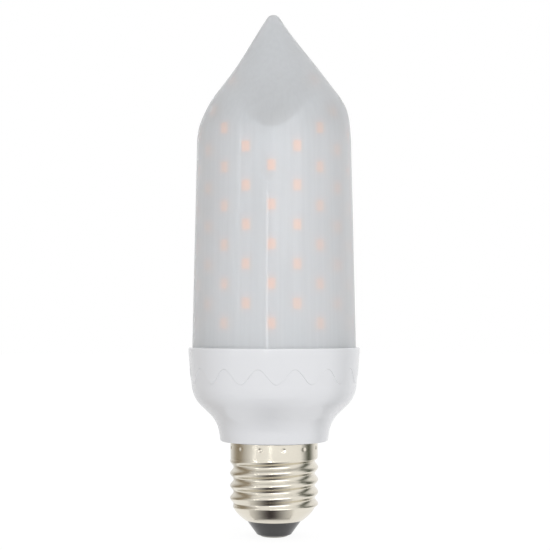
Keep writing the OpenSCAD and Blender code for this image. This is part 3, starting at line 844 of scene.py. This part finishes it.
    def band(self) -> np.ndarray:
        """Grid of the collar: its rows follow the wave z = trough + h (1 - cos(n a)) / 2 up to level rings.

        The radius is the recessed cone below the wave and the raised cone above it.

        Returns:
            Rings from just over the bowl up to the rim's edge.
        """
        a = angles(self.segments)
        turn = self.waves * (a - math.radians(self.wave_phase + 270))
        wave = self.wave_z + self.wave_h * (1 - np.cos(turn)) / 2
        start = self.curves(0.0)[-1][1]
        band_foot, top = wave + self.step_rows[-1][0], self.rim_z - self.edge
        rows = [(start + share * (wave - start), 0.0) for share in np.linspace(0.15, 0.97, 8)]
        rows += [(wave + offset, raised) for offset, raised in self.step_rows]
        rows += [(band_foot + share * (top - band_foot), 1.0) for share in np.linspace(0.05, 1.0, 14)]
        z = np.array([height for height, _ in rows])
        raised = np.array([share for _, share in rows])[:, None]
        return polar(np.minimum(self.collar(z), self.rim_r) - self.proud * (1 - raised), a, z)

    def above_band(self) -> np.ndarray:
        """Profile from the rim's rounded edge over and down the inside to the spigot's bore.

        Returns:
            Points of radius and height.
        """
        ledge_r = float(self.collar(self.ledge_z)) - self.proud - self.wall
        return np.vstack([
            arc((self.rim_r - self.edge, self.rim_z - self.edge), self.edge, 10, 90, 8),
            [(self.bore_r + self.bore_chamfer, self.rim_z), (self.bore_r, self.rim_z - self.bore_chamfer),
             (self.bore_r, self.ledge_z), (ledge_r, self.ledge_z)],
            self.curves(self.wall)[::-1],
            [(self.neck_r - self.wall + self.web_edge, self.web_top_z), (self.spigot_bore_r, self.web_top_z)],
        ])

    def bosses(self) -> list[Skin]:
        """The two screw bosses: each a post that grows out of the bowl's wall, with a blind pilot hole.

        The post's foot follows the middle of the wall: its height is that curve's at the point's distance
        from the axis, and the web's where the curve hasn't started.

        Returns:
            One skin for each post.
        """
        middle = np.vstack([[(self.neck_r - self.wall - self.boss_sink, self.web_top_z - self.boss_sink)],
                            self.curves(self.wall / 2)])
        heights = np.array([self.boss_z, self.boss_z, self.boss_z, self.boss_z - self.pilot_depth])
        radii = np.array([self.boss_r, self.boss_r, self.pilot_r, self.pilot_r])
        posts = []
        for side in (-1, 1):
            post = turned(np.stack([radii, heights], axis=1), 48) + np.array([0.0, side * self.boss_at, 0.0])
            post[0, :, 2] = np.interp(np.hypot(post[0, :, 0], post[0, :, 1]), middle[:, 0], middle[:, 1])
            posts.append((post, True))
        return posts

    def bars(self) -> list[Skin]:
        """The driver board's two grooves, each between two rails, and the ledge at the foot of each.

        Each bar is a box on the spigot's inner wall: two rings of four points, closed to poles.

        Returns:
            One skin for each bar.
        """
        half = self.groove / 2
        boxes = (  # Front face, size along Y and height of the top
            (half, self.rail_t, self.web_top_z),
            (-half - self.rail_t, self.rail_t, self.web_top_z),
            (-half - self.rail_t / 2, self.groove + self.rail_t, self.board_seat_z),
        )
        made = []
        for side in (-1, 1):
            x = side * np.array([self.bar_inner_r, self.bar_outer_r, self.bar_outer_r, self.bar_inner_r])
            for front, depth, top_z in boxes:
                y = front + depth * np.array([0, 0, 1, 1])
                rings = [np.stack([x, y, np.full(4, z)], axis=1) for z in (self.bar_foot_z, top_z)]
                made.append((np.array(rings), True))
        return made

    def skins(self) -> list[Skin]:
        """The moulding's skin, as one loop of rings, then the bosses and the bars.

        Returns:
            The skins, of which only the first isn't closed to poles.
        """
        grid = np.concatenate([self.spigot(), turned(self.below_band(), self.segments), self.band(),
                               turned(self.above_band(), self.segments)])
        return [(grid, False)] + self.bosses() + self.bars()


# The screw cap


@dataclass(frozen=True)
class ShellTaper:
    """The shell's narrow lower end: root - (root - rim) fall^1.5, with fall from 0 at end_z to 1 at rim_z."""

    root_r: float = 12.08
    end_z: float = 8.8
    rim_r: float = 8.7
    rim_z: float = 4.95

    def radius(self, z: np.ndarray) -> np.ndarray:
        """Outer radius of the taper at height z."""
        fall = np.clip((self.end_z - z) / (self.end_z - self.rim_z), 0.0, 1.0)
        return self.root_r - (self.root_r - self.rim_r) * fall ** 1.5


@dataclass
class ScrewShell(Piece):
    """The plated shell: a crimped skirt, a rolled round thread and a lower taper, all in one thin sheet."""

    skirt_r: float = 12.98
    skirt_top_z: float = 27.9
    skirt_foot_z: float = 23.7
    crest_r: float = 13.1
    taper: ShellTaper = ShellTaper()
    pitch: float = 3.629
    phase_z: float = 20.5
    sheet: float = 0.3
    crimps: int = 12
    crimp_phase: float = 0.4
    crimp_z: float = 26.4
    crimp_rows: float = 1.0
    crimp_ball_r: float = 0.95
    crimp_out: float = 0.7
    skirt_blend: tuple[float, float] = (1.2, 0.3)
    taper_blend: tuple[float, float] = (0.9, 0.5)
    segments: int = 300

    def radius(self, a: np.ndarray, z: np.ndarray) -> np.ndarray:
        """Outer radius at angle a and height z.

        The thread is mean + half depth times cos(2 pi ((z - phase) / pitch - a / 2 pi)). It runs out into the
        skirt above and into the taper below over smooth steps, and each crimp is a round dent in the skirt.

        Args:
            a: Angles in radians.
            z: Heights, of the same shape.

        Returns:
            The radii, of the same shape.
        """
        root, foot, end = self.taper.root_r, self.skirt_foot_z, self.taper.end_z
        mean, depth = (self.crest_r + root) / 2, (self.crest_r - root) / 2
        thread = mean + depth * np.cos(2 * np.pi * (z - self.phase_z) / self.pitch - a)
        top = ease(foot - self.skirt_blend[0], foot - self.skirt_blend[1], z)
        low = ease(end + self.taper_blend[0], end - self.taper_blend[1], z)
        r = (thread * (1 - top) + self.skirt_r * top) * (1 - low) + self.taper.radius(z) * low
        turn = 2 * np.pi / self.crimps
        nearest = np.mod(a / turn - self.crimp_phase + 0.5, 1.0) - 0.5
        away = np.hypot(nearest * turn * self.skirt_r, z - self.crimp_z)
        ball = np.sqrt(np.clip(self.crimp_ball_r ** 2 - away ** 2, 0.0, None))
        return r - np.clip(ball - self.crimp_out, 0.0, None)

    def skins(self) -> list[Skin]:
        """Rings up the outside at radius(a, z) and down the inside at that radius less the sheet.

        Returns:
            One skin, a closed loop of rings.
        """
        low, high = self.crimp_z - self.crimp_rows, self.crimp_z + self.crimp_rows
        z = np.concatenate([
            np.linspace(self.taper.rim_z, self.taper.end_z, 14)[:-1],
            np.linspace(self.taper.end_z, self.skirt_foot_z, 100)[:-1],
            np.linspace(self.skirt_foot_z, low, 6)[:-1],
            np.linspace(low, high, 24)[:-1],
            np.linspace(high, self.skirt_top_z, 4),
        ])
        z, a = np.meshgrid(z, angles(self.segments), indexing="ij")
        r = self.radius(a, z)
        return [(np.concatenate([polar(r, a, z), polar(r - self.sheet, a, z)[::-1]]), False)]


@dataclass
class CapInsulator(Piece):
    """The black insulator: a cone with a stepped end round the contact, and a disc inside the shell.

    Attributes are the part's own sizes in millimetres. The waist and the hip are given inwards and down from
    the shell's rim.
    """

    contact_r: float = 4.2
    contact_h: float = 0.5
    seat_gap: float = 0.02
    step: float = 0.5
    bore_r: float = 1.6
    top_z: float = 8.0
    taper: ShellTaper = ShellTaper()
    taper_start: float = 0.4
    waist: tuple[float, float] = (2.47, 2.75)
    hip: tuple[float, float] = (1.16, 0.95)
    shell_sides: int = 32
    sheet: float = 0.3
    gap: float = 0.15

    def inside_shell(self, z: np.ndarray) -> np.ndarray:
        """Radius inside the shell: the middle of the solid shell's flat sides, less the sheet and the gap."""
        return self.taper.radius(z) * math.cos(math.pi / self.shell_sides) - self.sheet - self.gap

    def outline(self) -> np.ndarray:
        """Profile from the bore at the end face over the cone and up inside the shell to the disc's top.

        Returns:
            Points of radius and height.
        """
        low = self.contact_h + self.seat_gap
        rim_r, rim_z = self.taper.rim_r, self.taper.rim_z
        waist, hip = ((rim_r - inwards, rim_z - down) for inwards, down in (self.waist, self.hip))
        lip = (rim_r - self.sheet - 2 * self.gap, rim_z - self.gap)
        z = np.linspace(rim_z + self.taper_start, self.top_z, 8)
        edge = (self.contact_r + self.step, low)
        step_end = (edge[0] + 1.3 * self.step, low + self.step)
        return np.vstack([
            [(self.bore_r, low)],
            bezier2(edge, (edge[0] + self.step, low + 0.1), step_end, 5),
            [waist, hip, lip],
            np.stack([self.inside_shell(z), z], axis=1),
            [(self.bore_r, self.top_z)],
        ])

    def skins(self) -> list[Skin]:
        """The turned profile, closed round its bore."""
        return [(turned(self.outline(), 128), False)]


@dataclass
class CentreContact(Piece):
    """The pressed contact plate with its pin in the insulator's bore."""

    flat_r: float = 3.2
    plate_r: float = 4.2
    plate_h: float = 0.5
    pin_r: float = 1.5
    pin_z: float = 9.1
    pin_edge: float = 0.3
    pole_r: float = 0.05

    def skins(self) -> list[Skin]:
        """The plate's and the pin's profile, turned.

        Returns:
            One skin, closed to poles.
        """
        outline = np.vstack([
            [(self.pole_r, 0.0), (self.flat_r, 0.0)],
            bezier2((self.flat_r, 0.0), (self.plate_r, 0.05), (self.plate_r, self.plate_h), 8)[1:],
            [(self.pin_r, self.plate_h), (self.pin_r, self.pin_z - self.pin_edge),
             (self.pin_r - self.pin_edge, self.pin_z), (self.pole_r, self.pin_z)],
        ])
        return [(turned(outline, 96), True)]


# The studio


@dataclass
class Softbox:
    """A rectangular lamp that faces a point on the bulb.

    Attributes:
        name: The lamp's name.
        azimuth: Degrees to the right of the front, seen from above, at which it stands.
        distance: Millimetres from the bulb's axis.
        height: Millimetres above the floor.
        size: Width and height in millimetres.
        power: Watts.
        aim_z: Height that it faces.
    """

    name: str
    azimuth: float
    distance: float
    height: float
    size: tuple[float, float]
    power: float
    aim_z: float = 80.0

    def build(self) -> None:
        """Adds the lamp."""
        lamp = bpy.data.lights.new(self.name, "AREA")
        lamp.shape = "RECTANGLE"
        lamp.size, lamp.size_y = (side * MM for side in self.size)
        lamp.energy = self.power
        obj = bpy.data.objects.new(self.name, lamp)
        a = math.radians(self.azimuth)
        place = (math.sin(a) * self.distance, -math.cos(a) * self.distance, self.height)
        obj.matrix_world = facing(place, (0.0, 0.0, self.aim_z))
        bpy.context.scene.collection.objects.link(obj)


@dataclass
class PaintedReflectionSheet:
    """A sheet on the floor and up a curved stand at its far edge, which only glossy rays meet.

    It is a painted reflection: it gives the bright plate something darker to show. The camera, the light and
    the shadows don't meet it.

    Attributes:
        name: The sheet's name.
        start: Azimuth of one edge in degrees to the right of the front.
        end: Azimuth of the other edge.
        near: Distance of its near edge from the bulb's axis in millimetres.
        far: Distance of its far edge, where it turns up.
        top: Height of its upper edge.
        colour: The sRGB colour of its painted reflection in the middle. Towards both edges it fades to white.
        lift: Height of its lower face.
        thickness: Its thickness.
    """

    name: str
    start: float
    end: float
    near: float
    far: float
    top: float
    colour: str
    lift: float = 0.3
    thickness: float = 0.5

    def material(self) -> bpy.types.Material:
        """Makes the sheet's matt material, a painted reflection whose colour fades smoothly towards its two
        edges, by |azimuth - middle| / half, over a fine bump.

        Returns:
            The material.
        """
        made = bpy.data.materials.new(self.name + "_matt_sheet")
        tree = empty_tree(made)
        place = add_node(tree, "ShaderNodeTexCoord").outputs["Object"]
        across = add_node(tree, "ShaderNodeSeparateXYZ", Vector=place).outputs
        ahead = add_node(tree, "ShaderNodeMath", {"operation": "MULTIPLY"}, i0=across["Y"], i1=-1.0)
        turn = add_node(tree, "ShaderNodeMath", {"operation": "ARCTAN2"}, i0=across["X"], i1=ahead.outputs[0])
        off = add_node(tree, "ShaderNodeMath", {"operation": "SUBTRACT"}, i0=turn.outputs[0],
                       i1=math.radians((self.start + self.end) / 2))
        off = add_node(tree, "ShaderNodeMath", {"operation": "ABSOLUTE"}, i0=off.outputs[0])
        half = math.radians((self.end - self.start) / 2)
        fade = add_node(tree, "ShaderNodeMapRange", {"interpolation_type": "SMOOTHSTEP"},
                        Value=off.outputs[0], From_Min=0.0, From_Max=half)
        weave = add_node(tree, "ShaderNodeTexNoise", Vector=place, Scale=1.0 / MM)
        tint = add_node(tree, "ShaderNodeMixRGB", Fac=fade.outputs[0], Color1=linear(self.colour),
                        Color2=linear("FFFFFF"))
        bump = add_node(tree, "ShaderNodeBump", Strength=0.1, Distance=MM, Height=weave.outputs["Fac"])
        shade_sheet = add_node(tree, "ShaderNodeBsdfDiffuse", Color=tint.outputs["Color"],
                         Normal=bump.outputs["Normal"])
        add_node(tree, "ShaderNodeOutputMaterial", Surface=shade_sheet.outputs[0])
        return made

    def build(self) -> None:
        """Adds the sheet to the stage."""
        a = np.radians(np.linspace(self.start, self.end, 24))
        run = np.array([(self.near, self.lift), (self.far, self.lift), (self.far, self.top)])
        run = np.vstack([run, run[::-1] + self.thickness])
        loop = polar(run[:, :1], a - np.pi / 2, run[:, 1:])
        obj = mesh_object(self.name, [(np.swapaxes(loop, 0, 1), True)])
        obj.data.materials.append(self.material())
        obj.visible_camera = obj.visible_diffuse = obj.visible_transmission = obj.visible_shadow = False


def facing(place: tuple, target: tuple) -> Matrix:
    """Turns an object so that its -Z axis points at a target and its Y axis stays upright.

    Args:
        place: Where it stands, in millimetres.
        target: What it faces, in millimetres.

    Returns:
        Its matrix.
    """
    place, target = np.array(place) * MM, np.array(target) * MM
    back = (place - target) / np.linalg.norm(place - target)
    right = np.cross([0.0, 0.0, 1.0], back)
    right /= np.linalg.norm(right)
    up = np.cross(back, right)
    matrix = np.eye(4)
    matrix[:3, :3] = np.stack([right, up, back], axis=1)
    matrix[:3, 3] = place
    return Matrix(matrix.tolist())


@dataclass
class Studio:
    """Camera, lamps, world and floor.

    The camera stands where the photograph's rim, neck and cap edges put it: 390 mm from the axis at a height
    of 61 mm, tilted up a little, with the bulb's axis a touch left of the middle.

    Attributes are sizes in millimetres, apart from these:
        focal_px: Focal length in pixels of the photograph, and image_px its width.
        paper_colour: The floor's sRGB colour in the lamps' light.
        paper_share: Share of the floor's own white, of strength paper_white, that background rays see.
        room_light: Strength of the room's light on the bulb.
    """

    camera_distance: float = 390.0
    camera_height: float = 61.0
    aim_z: float = 77.6
    axis_offset: float = 0.263
    focal_px: float = 1303.2
    image_px: int = 550
    sensor: float = 36.0
    floor_radius: float = 3000.0
    floor_z: float = -0.02
    floor_depth: float = 2.0
    paper_colour: str = "F4F4F4"
    paper_share: float = 0.86
    paper_white: float = 1.06
    room_light: float = 0.77

    def build_camera(self) -> None:
        """Adds the camera and makes it the scene's."""
        data = bpy.data.cameras.new("camera")
        data.sensor_width = self.sensor
        data.lens = self.focal_px * self.sensor / self.image_px
        data.clip_end = 20.0
        obj = bpy.data.objects.new("camera", data)
        place = (self.axis_offset, -self.camera_distance, self.camera_height)
        obj.matrix_world = facing(place, (self.axis_offset, 0.0, self.aim_z))
        bpy.context.scene.collection.objects.link(obj)
        bpy.context.scene.camera = obj

    def build_floor(self) -> None:
        """Adds a round pale floor that shows white but keeps a soft share of its shadow."""
        rings = [(r, self.floor_z) for r in (1.0, 60.0, 300.0, self.floor_radius)]
        grid = turned(np.array(rings), 96)
        base = grid[::-1] - np.array([0.0, 0.0, self.floor_depth])
        obj = mesh_object("floor", [(np.concatenate([grid, base]), True)])
        material = bpy.data.materials.new("white_sweep_paper")
        tree = empty_tree(material)
        share = add_node(tree, "ShaderNodeMath", {"operation": "MULTIPLY"}, i0=background_rays(tree),
                         i1=self.paper_share)
        paper = add_node(tree, "ShaderNodeBsdfDiffuse", Color=linear(self.paper_colour))
        glow = add_node(tree, "ShaderNodeEmission", Color=(1, 1, 1, 1), Strength=self.paper_white)
        mix = add_node(tree, "ShaderNodeMixShader", Fac=share.outputs[0], i1=paper.outputs[0],
                       i2=glow.outputs[0])
        add_node(tree, "ShaderNodeOutputMaterial", Surface=mix.outputs[0])
        obj.data.materials.append(material)

    def build_world(self) -> None:
        """A pale room: white where the camera looks, dimmer where it lights the bulb."""
        world = bpy.data.worlds.new("pale_room")
        bpy.context.scene.world = world
        tree = empty_tree(world)
        strength = add_node(tree, "ShaderNodeMapRange", Value=background_rays(tree), To_Min=self.room_light,
                            To_Max=1.0)
        back = add_node(tree, "ShaderNodeBackground", Color=(1, 1, 1, 1), Strength=strength.outputs[0])
        add_node(tree, "ShaderNodeOutputWorld", Surface=back.outputs[0])

    def build(self) -> None:
        """Adds everything in the studio."""
        self.build_camera()
        self.build_floor()
        self.build_world()
        # Painted reflections: dark sheets that only glossy rays meet, which darken what the plate mirrors.
        for shade_sheet in (
            PaintedReflectionSheet("painted_reflection_left", -155.0, -55.0, 40.0, 230.0, 300.0, "9F9380"),
            PaintedReflectionSheet("painted_reflection_right", 72.0, 128.0, 40.0, 230.0, 300.0, "4A503E"),
            # Painted shadow: the shade of the floor round the bulb's foot, seen only in reflections.
            PaintedReflectionSheet("painted_contact_shadow_front", -60.0, 44.0, 9.0, 60.0, 0.5, "4A4447"),
        ):
            shade_sheet.build()
        for box in (
            Softbox("strip_front_left", -9.5, 900.0, 110.0, (36.0, 255.0), 0.25),
            Softbox("strip_left", -50.0, 650.0, 100.0, (14.0, 300.0), 0.12),
            Softbox("strip_far_left", -71.0, 650.0, 600.0, (14.0, 300.0), 0.12),
            Softbox("key_front", 18.0, 1000.0, 420.0, (800.0, 500.0), 2.5),
        ):
            box.build()
            LOG.info("lamp %s", box.name)


class ColourView(Enum):
    """The colour view that the scene chooses."""

    PLAIN = "Standard"


def build_bulb(frame: dict) -> None:
    """Makes each new piece and dresses each solid that stays.
    """
    pieces: list[Piece] = [
        DiffuserCover("diffuser", MILKY_COVER),
        LowerHousing("housing", GLOSSY_WHITE),
        ScrewShell("cap_shell", NICKEL_PLATE),
        CapInsulator("cap_insulator", BLACK_GLASS),
        CentreContact("centre_contact", CONTACT_PLATE),
    ]
    for piece in pieces:
        piece.build(frame)
    for finish, nodes in INNER_FINISHES:
        for node in nodes:
            finish.dress(frame["nodes"][node])
            LOG.info("%s: %s", node, finish.name)


def main() -> None:
    """Loads the solids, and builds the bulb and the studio."""
    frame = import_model()
    bpy.context.scene.view_settings.view_transform = ColourView.PLAIN.value
    Studio().build()
    build_bulb(frame)


if __name__ == "__main__":
    logging.basicConfig(level=logging.INFO, format="%(name)s %(message)s")
    main()
